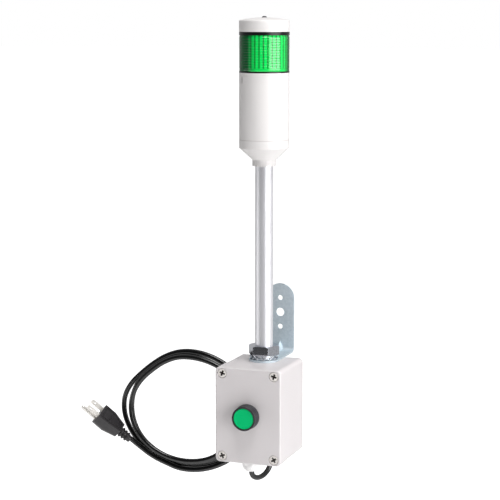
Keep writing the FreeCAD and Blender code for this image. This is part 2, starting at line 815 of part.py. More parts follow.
def make_lens():
    r = lens_d / 2.0
    low = lens_z + lens_band_low
    high = lens_top - lens_band_top
    pitch = (high - low) / rib_count
    profile = [(lens_in_r, lens_z), (r, lens_z), (r, low)]
    for i in range(rib_count):
        z = low + i * pitch
        profile.append((r - rib_depth, z + 0.2 * pitch))
        profile.append((r, z + 0.5 * pitch))
        if i < rib_count - 1:
            profile.append((r, z + 0.9 * pitch))
    profile += [(r, high), (r, lens_top), (lens_in_r, lens_top)]
    lens = turned(profile)
    flutes = []
    for i in range(flute_count):
        a = 2.0 * math.pi * i / flute_count
        centre = lens_in_r - flute_d * 0.18
        flutes.append(rod_z(flute_d / 2.0, low, high, centre * math.cos(a), pole_y + centre * math.sin(a)))
    return lens.cut(flutes)


def make_top_cap():
    r = lamp_r
    e = cap_edge_r
    k = e * (1.0 - math.sqrt(0.5))
    t = lamp_wall
    spigot = upstand_r
    boss = cap_boss_d / 2.0
    hole = cap_screw_d / 2.0 + fit_gap
    at = lambda radius, z: vec(radius, pole_y, z)
    rise = cap_dome * 0.76
    profile = [at(spigot, cap_z), at(r, cap_z), at(r, cap_shoulder - e),
               (at(r - k, cap_shoulder - k), at(r - e, cap_shoulder)),
               (at(r * 0.5, cap_shoulder + rise), at(hole, cap_crest)),
               at(hole, boss_low), at(boss, boss_low), at(boss, cap_shoulder - t),
               at(spigot - t, cap_shoulder - t), at(spigot - t, cap_z - cap_spigot_h),
               at(spigot, cap_z - cap_spigot_h)]
    return outline(profile).revolve(vec(0, pole_y, 0), Z, 360)


def make_tie_rod():
    rod = rod_z(rod_d / 2.0, board_z, boss_low)
    return rod.cut(rod_z(cap_screw_d / 2.0 + thread_gap, boss_low - cap_screw_len, boss_low + 1))


def make_cap_screw():
    r = cap_screw_head_d / 2.0
    seat = cap_crest
    top = seat + cap_screw_head_h
    end = boss_low - cap_screw_len + 3.0
    k = r * 0.55
    at = lambda radius, z: vec(radius, pole_y, z)
    screw = outline([at(0, end), at(cap_screw_d / 2.0, end), at(cap_screw_d / 2.0, seat), at(r, seat),
                     (at(k + r * 0.25, seat + cap_screw_head_h * 0.72), at(0, top))])
    screw = screw.revolve(vec(0, pole_y, 0), Z, 360)
    arm = 0.5
    cross = block((-r * 0.6, pole_y - arm, top - 1.0), (r * 0.6, pole_y + arm, top + 1))
    cross = cross.fuse(block((-arm, pole_y - r * 0.6, top - 1.0), (arm, pole_y + r * 0.6, top + 1)))
    return screw.cut(cross)


def make_reflector():
    low = board_z + board_t
    neck = low + reflector_foot_h
    high = boss_low
    bore = rod_d / 2.0 + fit_gap / 2.0
    a = reflector_low_d / 2.0
    b = reflector_top_d / 2.0
    t = reflector_t
    return turned([(bore, low), (a, low), (a, neck), (b, high - t), (b, high), (b - t, high),
                   (a, neck + 2.0 * t), (bore, neck + 2.0 * t)])


def make_light_board():
    disc = rod_z(light_board_d / 2.0, board_z, board_z + board_t)
    cuts = [rod_z(rod_d / 2.0 + fit_gap / 2.0, board_z - 1, board_z + 5)]
    return disc.cut(cuts)


def make_leds():
    lamps = []
    for i in range(led_count):
        a = 2.0 * math.pi * (i + 0.5) / led_count
        x = led_ring_d / 2.0 * math.cos(a)
        y = pole_y + led_ring_d / 2.0 * math.sin(a)
        z = board_z + board_t
        dome = Part.makeSphere(led_d / 2.0, vec(x, y, z + led_h))
        lamp = rod_z(led_d / 2.0, z, z + led_h, x, y).fuse(dome)
        lamp = lamp.fuse(rod_z(led_d / 2.0 + 0.4, z, z + 1.0, x, y))
        lamps.append(lamp)
    return Part.makeCompound(lamps)


# Driver board and what stands on it
board_face = pole_y - board_t / 2.0


def make_driver_board():
    half = board_t / 2.0
    return block((-driver_w / 2.0, pole_y - half, driver_low()),
                 (driver_w / 2.0, pole_y + half, driver_low() + driver_h))


def make_capacitors():
    parts = []
    for x in (-1, 1):
        z = driver_low() + driver_h * 0.42
        away = x * capacitor_d * 0.8
        parts.append(rod_y(capacitor_d / 2.0, board_face - capacitor_h, board_face, away, z))
    return Part.makeCompound(parts)


def make_choke():
    z = driver_low() + driver_h * 0.70
    ring = rod_y(choke_d / 2.0, board_face - choke_h, board_face, 0, z)
    return ring.cut(rod_y(choke_hole_d / 2.0, board_face - choke_h - 1, board_face + 1, 0, z))


def plug_block(low):
    half = plug_block_w / 2.0
    return block((-half, board_face - plug_block_d, low), (half, board_face, low + plug_block_h))


def make_led_wires():
    low = driver_low() + driver_h - 2.0
    return Part.makeCompound([rod_z(wire_d / 2.0, low, board_z, x, led_wire_y()) for x in led_wire_x()])


# Terminal block on the enclosure's back wall
terminal_top = seat_z - terminal_drop
terminal_low = terminal_top - terminal_h
terminal_y = inner_back_y - terminal_d / 2.0


def terminal_x(i):
    return (i - 1.5) * terminal_pitch


def make_terminal_block():
    half = terminal_w / 2.0
    body = block((-half, inner_back_y - terminal_d, terminal_low), (half, inner_back_y, terminal_top))
    cuts = []
    for i in range(4):
        x = terminal_x(i)
        cuts.append(rod_z(wire_d / 2.0 + thread_gap, terminal_top - 5.0, terminal_top + 1, x, terminal_y))
        cuts.append(rod_z(wire_d / 2.0 + thread_gap, terminal_low - 1, terminal_low + 5.0, x, terminal_y))
        face = inner_back_y - terminal_d
        screw_z = terminal_low + terminal_h / 2.0
        cuts.append(rod_y(terminal_screw_d / 2.0 + fit_gap, face - 1, face + 3.0, x, screw_z))
    return body.cut(cuts)


def make_terminal_screws():
    face = inner_back_y - terminal_d
    screws = []
    for i in range(4):
        x = terminal_x(i)
        z = terminal_low + terminal_h / 2.0
        head = rod_y(terminal_screw_d / 2.0, face + terminal_screw_h, face + 3.0, x, z)
        slot = block((x - terminal_screw_d, face, z - 0.35),
                     (x + terminal_screw_d, face + terminal_screw_h + 0.9, z + 0.35))
        screws.append(head.cut(slot))
    return Part.makeCompound(screws)


# Wires that the housings hold all the way
inner_end_z = low_in_z + gland_lock_h + 8.0


def make_supply_wires():
    wires = []
    for i in range(3):
        x = gland_x + (i - 1) * 2.0
        to = terminal_x(i)
        middle_z = (inner_end_z + 10.0 + terminal_low - 12.0) / 2.0 + 2.0 * i
        route = [vec(x, pole_y, inner_end_z), vec(x, pole_y, inner_end_z + 10.0),
                 vec((x + to) / 2.0, (pole_y + terminal_y) / 2.0, middle_z),
                 vec(to, terminal_y, terminal_low - 10.0), vec(to, terminal_y, terminal_low + 4.0)]
        wires.append(tube_along("supply_wire", route, wire_d))
    return Part.makeCompound(wires)


def make_lamp_wires():
    wires = []
    high = driver_low() + 3.0
    block_y = board_face - plug_block_d / 2.0
    for side in (-1, 1):
        to = terminal_x(1 if side < 0 else 2)
        x = side * 2.6
        middle = vec((x + to) / 2.0 + side * wire_bow / 40.0, (pole_y + terminal_y) / 2.0,
                     pole_low - 2.0 * wire_bow - wire_d / 2.0)
        route = [vec(x, block_y, high), vec(x, block_y, high - wire_drop),
                 vec(x, pole_y, high - 2.0 * wire_drop - wire_d), vec(x, pole_y, pole_low - wire_hold),
                 middle, vec(to, terminal_y, terminal_top + wire_fan),
                 vec(to, terminal_y, terminal_top - wire_hold)]
        wires.append(tube_along("lamp_wire", route, wire_d))
    return Part.makeCompound(wires)


def make_button_wires():
    wires = []
    top = button_z + contact_h / 2.0
    y = contact_place() + contact_d - wire_bow
    for side in (-1, 1):
        x = side * contact_w / 4.0
        to = terminal_x(0 if side < 0 else 3)
        route = [vec(x, y, top - wire_hold + 1.0), vec(x, y, top + wire_rise),
                 vec(x + side * wire_bow / 8.0, y + wire_bow, top + wire_drop),
                 vec(to + side * wire_bow / 20.0, terminal_y - wire_bow, terminal_top + 2.0 * wire_fan),
                 vec(to, terminal_y, terminal_top + wire_fan), vec(to, terminal_y, terminal_top - wire_hold)]
        wires.append(tube_along("button_wire", route, wire_d))
    return Part.makeCompound(wires)


# Mains lead: a tube to the coil, the coil's outer shape, and a tube to the plug
def plug_frame():
    rotation = FreeCAD.Rotation(vec(*plug_forward), FreeCAD.Vector(), vec(*plug_ground_way), "XZY")
    return FreeCAD.Placement(vec(*plug_face), rotation)


def on_plug(forward, across, down):
    return plug_frame().multVec(vec(forward, across, down))


def make_coil():
    half = cord_d / 2.0
    front = coil_front_y - half
    shoulder = coil_tail_y - half
    back = coil_back_y + half

    def oval(grow, y):
        wire = Part.Wire(Part.Ellipse(vec(0, 0, 0), coil_half_w + grow, coil_half_h + grow).toShape())
        wire.rotate(vec(0, 0, 0), X, -90)
        wire.translate(vec(coil_x, y, coil_z))
        return wire

    outside = Part.Face(oval(half, shoulder)).extrude(vec(0, back - shoulder, 0))
    slope = Part.makeLoft([oval(half, shoulder), oval(half - coil_inset, front)], True, True)
    inside = Part.Face(oval(-half - coil_inset, front - 1)).extrude(vec(0, back - front + 2, 0))
    ring = outside.fuse(slope).cut(inside)
    rims = []
    for edge in ring.Edges:
        at = edge.BoundBox
        flat = at.YMax - at.YMin < 1e-3
        level = min(abs(at.YMin - front), abs(at.YMin - back))
        if flat and level < 1e-3:
            rims.append(edge)
    return ring.makeFillet(coil_round, rims)


def lead_route():
    mouth = gland_mouth_z
    return [vec(gland_x, pole_y, mouth), vec(gland_x, pole_y, mouth - 5.5), vec(-12.3, -52.0, mouth - 11.0),
            vec(-9.0, -40.0, mouth - 11.6), vec(-6.0, -29.5, mouth - 7.5), vec(-3.0, -24.0, mouth + 1.5),
            vec(0.5, -23.5, mouth + 14.0), vec(3.0, -23.7, mouth + 30.0), vec(1.0, -23.5, mouth + 47.0),
            vec(-8.0, -23.6, mouth + 61.0), vec(-22.0, -23.5, mouth + 69.0), vec(-37.0, -23.6, mouth + 65.0),
            vec(-47.0, -23.2, mouth + 52.0), vec(-53.0, -22.0, mouth + 35.0),
            vec(-60.5, -19.0, mouth + 19.0), vec(-71.0, -17.0, mouth + 5.5)]


def tail_route():
    behind = -plug_front_len - plug_taper_len - relief_len
    return [on_plug(behind, 0, plug_axis_drop), on_plug(behind - 7.0, 0, plug_axis_drop),
            vec(-179.0, -15.9, -178.3), vec(-168.0, -14.0, -186.8), vec(-157.0, -12.6, -192.8),
            vec(-146.5, -11.3, -197.2)]


def make_plug_body():
    w = plug_w / 2.0
    tail = -plug_front_len - plug_taper_len

    def section(forward, half, flat, centre):
        s = half * math.sqrt(0.5)
        return outline([vec(forward, -half, -flat), vec(forward, half, -flat), vec(forward, half, centre),
                        (vec(forward, s, centre + s), vec(forward, 0, centre + half)),
                        (vec(forward, -s, centre + s), vec(forward, -half, centre))])

    front = section(0, w, plug_flat, plug_round_at).extrude(vec(-plug_front_len, 0, 0))
    taper = Part.makeLoft([section(-plug_front_len, w, plug_flat, plug_round_at).OuterWire,
                           section(tail, plug_tail_w / 2.0, plug_tail_flat, plug_round_at).OuterWire], True)
    body = front.fuse(taper).fuse(relief(tail)).cut(face_lines(tail))
    body = body.cut([blade_blank(-1), blade_blank(1), earth_blank()])
    body.Placement = plug_frame()
    return body


def face_lines(tail):
    """Grooves that frame the plug's flat face, with one line across it."""
    over = -plug_w
    front_half = plug_w / 2.0 - face_margin
    tail_half = plug_tail_w / 2.0 - face_margin
    bend = -plug_front_len
    end = tail + face_margin

    def frame(inset):
        a = front_half - inset
        b = tail_half - inset
        corners = [(-face_margin - inset, -a), (bend, -a), (end + inset, -b), (end + inset, b), (bend, a),
                   (-face_margin - inset, a)]
        return outline([vec(x, y, over) for x, y in corners]).extrude(vec(0, 0, plug_w))

    across = block((bend + face_line_w, -front_half, over), (bend + 2.0 * face_line_w, front_half, 0))
    side = [(1.0, over), (1.0, face_line_depth - plug_flat), (bend, face_line_depth - plug_flat),
            (tail, face_line_depth - plug_tail_flat), (tail, over)]
    skin = outline([vec(x, -plug_w, z) for x, z in side]).extrude(vec(0, 2.0 * plug_w, 0))
    return frame(0.0).cut(frame(face_line_w)).fuse(across).common(skin)


def relief(tail):
    """Ringed strain relief that narrows down to the lead."""
    bore_less = 0.0
    root = relief_d / 2.0
    ring = relief_ring_d / 2.0
    pitch = relief_len / (relief_rings + 1.0)
    profile = [(bore_less, tail + 1.0), (root, tail + 1.0)]
    for i in range(relief_rings):
        at = tail - i * pitch
        shrink = 0.35 * i
        profile += [(root - shrink, at - 0.25 * pitch), (ring - shrink, at - 0.45 * pitch),
                    (ring - shrink, at - 0.85 * pitch), (root - shrink, at - 1.05 * pitch)]
    profile += [(relief_tip_d / 2.0, tail - relief_len), (bore_less, tail - relief_len)]
    points = [vec(forward, 0, plug_axis_drop + r) for r, forward in profile]
    return outline(points).revolve(vec(0, 0, plug_axis_drop), X, 360)


def blade_blank(side):
    y = side * blade_pitch / 2.0
    plate = block((-blade_root, y - blade_t / 2.0, -blade_w / 2.0),
                  (blade_len, y + blade_t / 2.0, blade_w / 2.0))
    tip = 1.6
    corners = []
    for end in (-1, 1):
        a = vec(blade_len, y - blade_t, end * blade_w / 2.0)
        b = vec(blade_len - tip, y - blade_t, end * blade_w / 2.0)
        c = vec(blade_len, y - blade_t, end * (blade_w / 2.0 - tip))
        corners.append(outline([a, b, c]).extrude(vec(0, 2.0 * blade_t, 0)))
    return plate.cut(corners)


def earth_blank():
    r = earth_d / 2.0
    pin = Part.makeCylinder(r, earth_len + blade_root - r, vec(-blade_root, 0, earth_drop), X)
    return pin.fuse(Part.makeSphere(r, vec(earth_len - r, 0, earth_drop)))


def make_blades():
    blades = []
    for side in (-1, 1):
        near = vec(blade_hole_at, side * blade_pitch / 2.0 - plug_w / 2.0, 0)
        hole = Part.makeCylinder(blade_hole_d / 2.0, plug_w, near, Y)
        blade = blade_blank(side).cut(hole)
        blade.Placement = plug_frame()
        blades.append(blade)
    return Part.makeCompound(blades)


def make_earth_pin():
    pin = earth_blank()
    pin.Placement = plug_frame()
    return pin


os.makedirs("parts", exist_ok=True)
save("bracket", make_bracket())
save("pole", make_pole())
save("pole_nut", hex_nut(nut_af, pole_r + thread_gap, pole_nut_z, nut_h, nut_chamfer, turn=nut_turn,
                         foot=nut_foot_chamfer))
save("tooth_washers", Part.makeCompound([tooth_washer(washers_z, 1),
                                         tooth_washer(washers_z + washer_rise, -1)]))
save("inner_washer", make_inner_washer())
save("inner_nut", hex_nut(nut_af, pole_r + thread_gap, inner_nut_z, nut_h, nut_chamfer))
save("enclosure_base", make_base())
save("enclosure_lid", make_lid())
save("lid_seal", lid_seal())
save("lid_screws", make_lid_screws())
save("button_bezel", make_bezel())
save("button_gasket", make_button_gasket())
save("button_cap", make_button_cap())
save("button_plunger", make_plunger())
save("button_spring", make_button_spring())
save("button_ring_nut", make_ring_nut())
save("contact_block", make_contact_block())
save("contact_screws", make_contact_screws())
save("gland_washer", make_gland_washer())
save("gland_body", make_gland_body())
save("gland_nut", make_gland_nut())
save("gland_seal", make_gland_seal())
save("gland_lock_nut", hex_nut(gland_lock_af, gland_thread_d / 2.0 + thread_gap, low_in_z,
                               gland_lock_h, 0.8, gland_x))
save("lamp_foot", make_foot())
save("foot_nut", hex_nut(top_nut_af, pole_r + thread_gap, foot_seat_z, top_nut_h, 1.0))
save("lamp_body", make_body())
save("light_base", make_light_base())
save("lower_ring", black_ring(light_top, lens_z))
save("lens", make_lens())
save("upper_ring", black_ring(lens_top, cap_z))
save("top_cap", make_top_cap())
save("cap_screw", make_cap_screw())
save("tie_rod", make_tie_rod())
save("reflector", make_reflector())
save("light_board", make_light_board())
save("leds", make_leds())
save("driver_board", make_driver_board())
save("capacitors", make_capacitors())
save("choke", make_choke())
save("driver_connector", plug_block(driver_low() + 3.0))
save("led_wires", make_led_wires())
save("terminal_block", make_terminal_block())
save("terminal_screws", make_terminal_screws())
save("supply_wires", make_supply_wires())
save("lamp_wires", make_lamp_wires())
save("button_wires", make_button_wires())
save("cord_inner", rod_z(cord_d / 2.0, gland_mouth_z, inner_end_z, gland_x))
save("cord_lead", tube_along("cord_lead", lead_route(), cord_d))
save("cord_coil", make_coil())
save("cord_tail", tube_along("cord_tail", tail_route(), cord_d))
save("plug_body", make_plug_body())
save("plug_blades", make_blades())
save("plug_earth_pin", make_earth_pin())
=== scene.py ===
# %% [markdown]
# # Stack light with a push button box
# A signal tower warns people around a machine. This one has one green light on an aluminium pole,
# a steel wall bracket, a small plastic box with a flush push button, and a mains lead with a plug.
# The solids come from the CAD model. This lesson dresses them: it gives every piece the finish that
# the real one has, and makes the finer pieces anew where a solid is too plain.

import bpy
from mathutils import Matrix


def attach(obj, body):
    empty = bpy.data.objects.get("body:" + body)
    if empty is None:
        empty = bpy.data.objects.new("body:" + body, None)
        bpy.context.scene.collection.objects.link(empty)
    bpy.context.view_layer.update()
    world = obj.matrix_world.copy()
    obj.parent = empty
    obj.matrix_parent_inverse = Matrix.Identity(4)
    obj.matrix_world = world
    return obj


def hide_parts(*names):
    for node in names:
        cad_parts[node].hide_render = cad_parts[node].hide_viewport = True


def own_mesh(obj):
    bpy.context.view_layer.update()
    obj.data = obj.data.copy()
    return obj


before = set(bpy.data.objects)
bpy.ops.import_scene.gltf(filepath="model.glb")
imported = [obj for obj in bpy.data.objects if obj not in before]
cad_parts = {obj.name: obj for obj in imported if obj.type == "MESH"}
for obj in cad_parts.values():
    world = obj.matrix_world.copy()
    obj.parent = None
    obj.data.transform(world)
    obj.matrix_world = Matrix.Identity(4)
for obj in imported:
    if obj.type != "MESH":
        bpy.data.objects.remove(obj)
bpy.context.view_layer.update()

# %% Tools that the cells share
import math

import bmesh
import bpy
from mathutils import Vector

MM = 0.001


def millimetres(points):
    """Points given in millimetres, as vectors in metres."""
    return [Vector(point) * MM for point in points]


# %% [markdown]
# ## Camera
# A photograph of a small product is usually taken from a few metres away with a long lens, so its
# upright edges stay almost upright. The camera stands in front of the box, to its right and a
# little above it. The lens is worked out from the frame: 1700 pixels of focal length on 500 pixels
# of picture is the same as 122.4 mm on a 36 mm sensor.

# %% Place the camera
CAMERA_PLACE = (0.6558, -1.9089, 0.3558)
CAMERA_AIM = (-0.01749, -0.060, 0.08201)

lens_view = bpy.data.cameras.new("product_camera")
lens_view.sensor_width = 36.0
lens_view.lens = 122.4
camera = bpy.data.objects.new("product_camera", lens_view)
camera.location = CAMERA_PLACE
look = Vector(CAMERA_AIM) - camera.location
camera.rotation_euler = look.to_track_quat("-Z", "Y").to_euler()
bpy.context.scene.collection.objects.link(camera)
bpy.context.scene.camera = camera
bpy.context.scene.view_settings.view_transform = "Standard"
print("camera looks", tuple(round(value, 3) for value in look.normalized()))

# %% [markdown]
# ## Mains lead
# The lead leaves the cable gland, turns back under the box, runs up and over behind it, and goes
# into three loose turns that lie beside and on each other. Then its end comes out to the plug.
# A flexible cord has no corners, so one NURBS spline of order 3 is the right curve: it passes
# smoothly between its control points. The turns are a loop of points on an ellipse whose inset and
# depth change slowly, because loose turns differ in size.

# %% Points of the lead
CORD_WIDTH = 6.4
MOUTH = -182.8  # height of the gland's mouth

lead_points = [
    (-15.5, -60, MOUTH), (-15.5, -60, MOUTH - 5.5), (-12.3, -52, MOUTH - 11),
    (-9, -40, MOUTH - 11.6), (-6, -29.5, MOUTH - 7.5), (-3.5, -24, MOUTH + 1.5),
    (-0.5, -23.3, MOUTH + 14), (2, -23.5, MOUTH + 30), (0, -23.3, MOUTH + 47),
    (-8, -23.5, MOUTH + 61), (-22, -23.4, MOUTH + 69), (-37, -23.6, MOUTH + 65),
    (-47, -23.2, MOUTH + 52), (-53, -22, MOUTH + 35), (-60.5, -19, MOUTH + 19),
    (-71, -17, MOUTH + 5.5),
]
tail_points = [
    (-146.5, -11.3, -197.2), (-157, -12.6, -192.8), (-168, -14, -186.8),
    (-179, -15.9, -178.3), (-185.4, -16.8, -173.5), (-190.35, -18.65, -168.9),
]

# %% Points of the three turns
# Each row is half a quarter turn on, from the bottom, clockwise as the camera sees it.
turn_insets = [
    12.5, 12.8, 14.2, 14.1, 6.0, 4.6, 6.5, 10.0,
    9.4, 10.0, 12.3, 11.5, 4.6, 5.6, 5.8, 7.0,
    4.9, 0.6, -1.4, 7.6, 1.4, 2.8, -1.6, 1.4, 0.0, 0.0,
]
turn_depths = [
    -17, -17, -17, -17, -17, -17, -14.6, -10.9,
    -10.5, -10.5, -10.5, -10.5, -10.5, -10.5, -8.2, -4.8,
    -4.5, -4.5, -4.5, -4.5, -4.5, -4.5, -5.2, -9.2, -10, -10,
]
TURN_CENTRE = (-117.0, -129.0)
TURN_HALF_WIDTH = 87.7
TURN_HALF_HEIGHT = 74.9
POINTS_A_TURN = 24
COIL_START = -0.25
COIL_END = 12.2


def coil_points(start, end):
    """Control points of the loose turns; start and end count in quarter turns from the bottom."""
    # Control points stand a little outside the curve that they draw.
    reach = 1 / math.cos(math.pi / POINTS_A_TURN) ** 0.8
    last_place = len(turn_insets) - 1.001
    points = []
    quarter = start
    while quarter <= end:
        place = min(max(quarter * 2, 0), last_place)
        row = int(place)
        blend = math.sin((place - row) * math.pi / 2) ** 2
        inset = turn_insets[row] * (1 - blend) + turn_insets[row + 1] * blend
        depth = turn_depths[row] * (1 - blend) + turn_depths[row + 1] * blend
        angle = math.radians(-90 - 90 * quarter)
        points.append((
            TURN_CENTRE[0] + (TURN_HALF_WIDTH - inset) * reach * math.cos(angle),
            depth,
            TURN_CENTRE[1] + (TURN_HALF_HEIGHT - inset) * reach * math.sin(angle),
        ))
        quarter += 4 / POINTS_A_TURN
    return points


# %% The lead's curve
def cord_curve(name, points, width):
    """A round cord: one open NURBS spline through the route, thickened to its width."""
    curve = bpy.data.curves.new(name, "CURVE")
    curve.dimensions = "3D"
    curve.resolution_u = 8
    curve.bevel_depth = width / 2 * MM
    curve.bevel_resolution = 5
    curve.use_fill_caps = True
    spline = curve.splines.new("NURBS")
    spline.points.add(len(points) - 1)
    for point, place in zip(spline.points, millimetres(points)):
        point.co = (*place, 1)
    spline.order_u = 3
    spline.use_endpoint_u = True
    cord = bpy.data.objects.new(name, curve)
    bpy.context.scene.collection.objects.link(cord)
    return cord


route = lead_points + coil_points(COIL_START, COIL_END) + tail_points
mains_lead = cord_curve("mains_lead", route, CORD_WIDTH)
print("points on the lead", len(route))

# %% [markdown]
# ## Colours and nodes
# Colours are written as sRGB hex, as a colour picker shows them, and one function turns them to the
# linear values that shaders work in. One small function adds a node with its settings and links, so
# that each finish below reads as a short list. All patterns use Object coordinates: every piece
# stands at the origin, so these are the same metres for all of them. The other functions are the few
# steps that the patterns share: arithmetic, a range, a mix of two colours, noise and relief.


# %% Helpers for the finishes
def linear(hex_colour):
    """sRGB hex to linear RGBA."""
    values = [int(hex_colour[i:i + 2], 16) / 255 for i in (1, 3, 5)]
    return tuple(v / 12.92 if v <= 0.04045 else ((v + 0.055) / 1.055) ** 2.4 for v in values) + (1.0,)


def add_node(tree, kind, inputs=None, **settings):
    """Adds a node. An input is a value or another node's output socket."""
    node = tree.nodes.new(kind)
    for key, value in settings.items():
        setattr(node, key, value)
    for key, value in (inputs or {}).items():
        if isinstance(value, bpy.types.NodeSocket):
            tree.links.new(value, node.inputs[key])
        else:
            node.inputs[key].default_value = value
    return node


def new_finish(name):
    """An empty material with its node tree, output and surface shader."""
    finish = bpy.data.materials.new(name)
    finish.use_nodes = True
    tree = finish.node_tree
    tree.nodes.clear()
    output = add_node(tree, "ShaderNodeOutputMaterial")
    shader = add_node(tree, "ShaderNodeBsdfPrincipled")
    tree.links.new(shader.outputs["BSDF"], output.inputs["Surface"])
    return finish, tree, shader


# %% Steps that the patterns share
def object_place(tree):
    """The place on the object in metres, whole and as X, Y and Z."""
    place = add_node(tree, "ShaderNodeTexCoord").outputs["Object"]
    return place, add_node(tree, "ShaderNodeSeparateXYZ", {"Vector": place}).outputs


def maths(tree, operation, first, second=0.0):
    """One step of arithmetic on single values."""
    return add_node(tree, "ShaderNodeMath", {0: first, 1: second}, operation=operation).outputs[0]


def vector_maths(tree, operation, first, second=(0, 0, 0)):
    """One step of arithmetic on vectors; a length or a dot product comes out as a single value."""
    step = add_node(tree, "ShaderNodeVectorMath", {0: first, 1: second}, operation=operation)
    return step.outputs["Value" if operation in ("LENGTH", "DOT_PRODUCT") else "Vector"]


def ranged(tree, value, low, high, to_low=0.0, to_high=1.0, smooth=False):
    """Maps low..high to another range and holds at its ends."""
    return add_node(tree, "ShaderNodeMapRange",
                    {"Value": value, "From Min": low, "From Max": high, "To Min": to_low,
                     "To Max": to_high},
                    interpolation_type="SMOOTHSTEP" if smooth else "LINEAR").outputs["Result"]


def colour_mix(tree, factor, first, second):
    """One colour where the factor is 0 and another where it is 1."""
    return add_node(tree, "ShaderNodeMix", {"Factor": factor, "A": first, "B": second},
                    data_type="RGBA").outputs["Result"]


def noise(tree, place, size_mm, detail):
    """Noise whose patches are about one size in real millimetres."""
    return add_node(tree, "ShaderNodeTexNoise",
                    {"Vector": place, "Scale": 1000 / size_mm, "Detail": detail}).outputs["Fac"]


def bump(tree, height, depth_mm, **more):
    """Relief of a real depth."""
    return add_node(tree, "ShaderNodeBump", {"Height": height, "Distance": depth_mm * MM,
                                             "Strength": 1.0, **more}).outputs["Normal"]


# %% [markdown]
# ## Moulded plastics
# Most covers here are moulded: ABS for the box and the lamp, polyamide for the button's ring, nylon
# for the gland. A mould leaves a fine spark texture of a few tenths of a millimetre, and the colour
# wanders a little where the melt flowed. Two noise patterns do this: a fine one for relief and a
# broad one for colour. Plastics have an IOR of about 1.5 and a roughness of 0.3 to 0.5.


# %% A moulded plastic finish
PLASTIC_IOR = 1.53
PATCH_MM = 30


def moulded(name, colour, shade, roughness, grain_mm=0.5, relief_mm=0.01, specular=0.5):
    """Plastic with a fine spark texture and a colour that wanders between two close tones."""
    finish, tree, shader = new_finish(name)
    place, _ = object_place(tree)
    mix = colour_mix(tree, noise(tree, place, PATCH_MM, 3.0), linear(colour), linear(shade))
    tree.links.new(mix, shader.inputs["Base Color"])
    relief = bump(tree, noise(tree, place, grain_mm, 2.0), relief_mm)
    tree.links.new(relief, shader.inputs["Normal"])
    shader.inputs["Roughness"].default_value = roughness
    shader.inputs["IOR"].default_value = PLASTIC_IOR
    shader.inputs["Specular IOR Level"].default_value = specular
    return finish


box_abs = moulded("abs_light_grey", "#E1DCDD", "#DED9DA", 0.36)
lamp_abs = moulded("abs_off_white", "#ECE9E8", "#E9E6E5", 0.32, relief_mm=0.004, specular=0.25)
ring_abs = moulded("abs_black", "#151517", "#101012", 0.28, specular=0.35)
bezel_nylon = moulded("polyamide_dark_grey", "#303035", "#2A2A2F", 0.42, specular=0.4)
cap_abs = moulded("abs_signal_green", "#00CC7B", "#00C273", 0.34, specular=0.12)
gland_nylon = moulded("polyamide_white", "#F5F4F4", "#F1EFEF", 0.30)
screw_nylon = moulded("polyamide_off_white", "#F4EFEB", "#EDE7E2", 0.30)
cord_pvc = moulded("pvc_black_cord", "#0D0D0E", "#08080A", 0.20, grain_mm=1.2, relief_mm=0.004,
                   specular=0.7)
plug_pvc = moulded("pvc_black_plug", "#353335", "#2E2C2E", 0.30, grain_mm=0.6, relief_mm=0.012)
inner_abs = moulded("abs_white_inner", "#F0EFEC", "#E8E6E2", 0.35)
seal_rubber = moulded("epdm_rubber", "#232324", "#1B1B1C", 0.62)
board_resin = moulded("glass_epoxy_board", "#1E6B45", "#195C3B", 0.30)
light_epoxy = moulded("led_epoxy", "#F2EFC8", "#EAE6B8", 0.15)
capacitor_film = moulded("pet_sleeve", "#23242C", "#1C1D24", 0.25)
ferrite_core = moulded("ferrite", "#3A3A3C", "#303032", 0.55)
wire_pvc = moulded("pvc_wire", "#8A2A22", "#7C241D", 0.38)
print("plastics", len(bpy.data.materials))

# %% [markdown]
# ## Marks on the plastics
# Some marks are too fine for light alone to show at this distance: the dark cross in a screw head,
# the hairline where two covers meet, the notch that lines the light up, the grip rings on the
# button's rim. The dark cross and the notch are painted shade, where the recess would fall dark.
# Each is a mask from Object coordinates at its real height or depth, and the mask blends a second
# colour, or a relief, over the finish that is already there.


# %% Deeper places, grooves and joint lines
def shader_of(finish):
    """The surface shader of a finish."""
    return next(node for node in finish.node_tree.nodes if node.type == "BSDF_PRINCIPLED")


def paint_over(finish, mask, colour):
    """Blends a colour over a finish where the mask is 1."""
    tree = finish.node_tree
    base = shader_of(finish).inputs["Base Color"]
    tree.links.new(colour_mix(tree, mask, base.links[0].from_socket, linear(colour)), base)


def paint_shade_behind(finish, front_mm, depth_mm, colour):
    """Painted shade for what lies deeper than a front plane, such as a driver recess."""
    tree = finish.node_tree
    _, parts = object_place(tree)
    mask = ranged(tree, parts["Y"], front_mm * MM, (front_mm + depth_mm) * MM)
    paint_over(finish, mask, colour)


def groove(finish, axis, pitch_mm, depth_mm):
    """Fine grooves that repeat along one axis, on top of the grain."""
    tree = finish.node_tree
    _, parts = object_place(tree)
    wave = maths(tree, "SINE", maths(tree, "MULTIPLY", parts[axis], 2 * math.pi / (pitch_mm * MM)))
    normal = shader_of(finish).inputs["Normal"]
    tree.links.new(bump(tree, wave, depth_mm, Normal=normal.links[0].from_socket), normal)


def joint_line(finish, height_mm, width_mm, colour):
    """The thin line where two turned covers meet, all the way round at one height."""
    tree = finish.node_tree
    _, parts = object_place(tree)
    away = maths(tree, "ABSOLUTE", maths(tree, "SUBTRACT", parts["Z"], height_mm * MM))
    mask = ranged(tree, away, width_mm * 0.3 * MM, width_mm * 0.7 * MM, 1.0, 0.0)
    paint_over(finish, mask, colour)


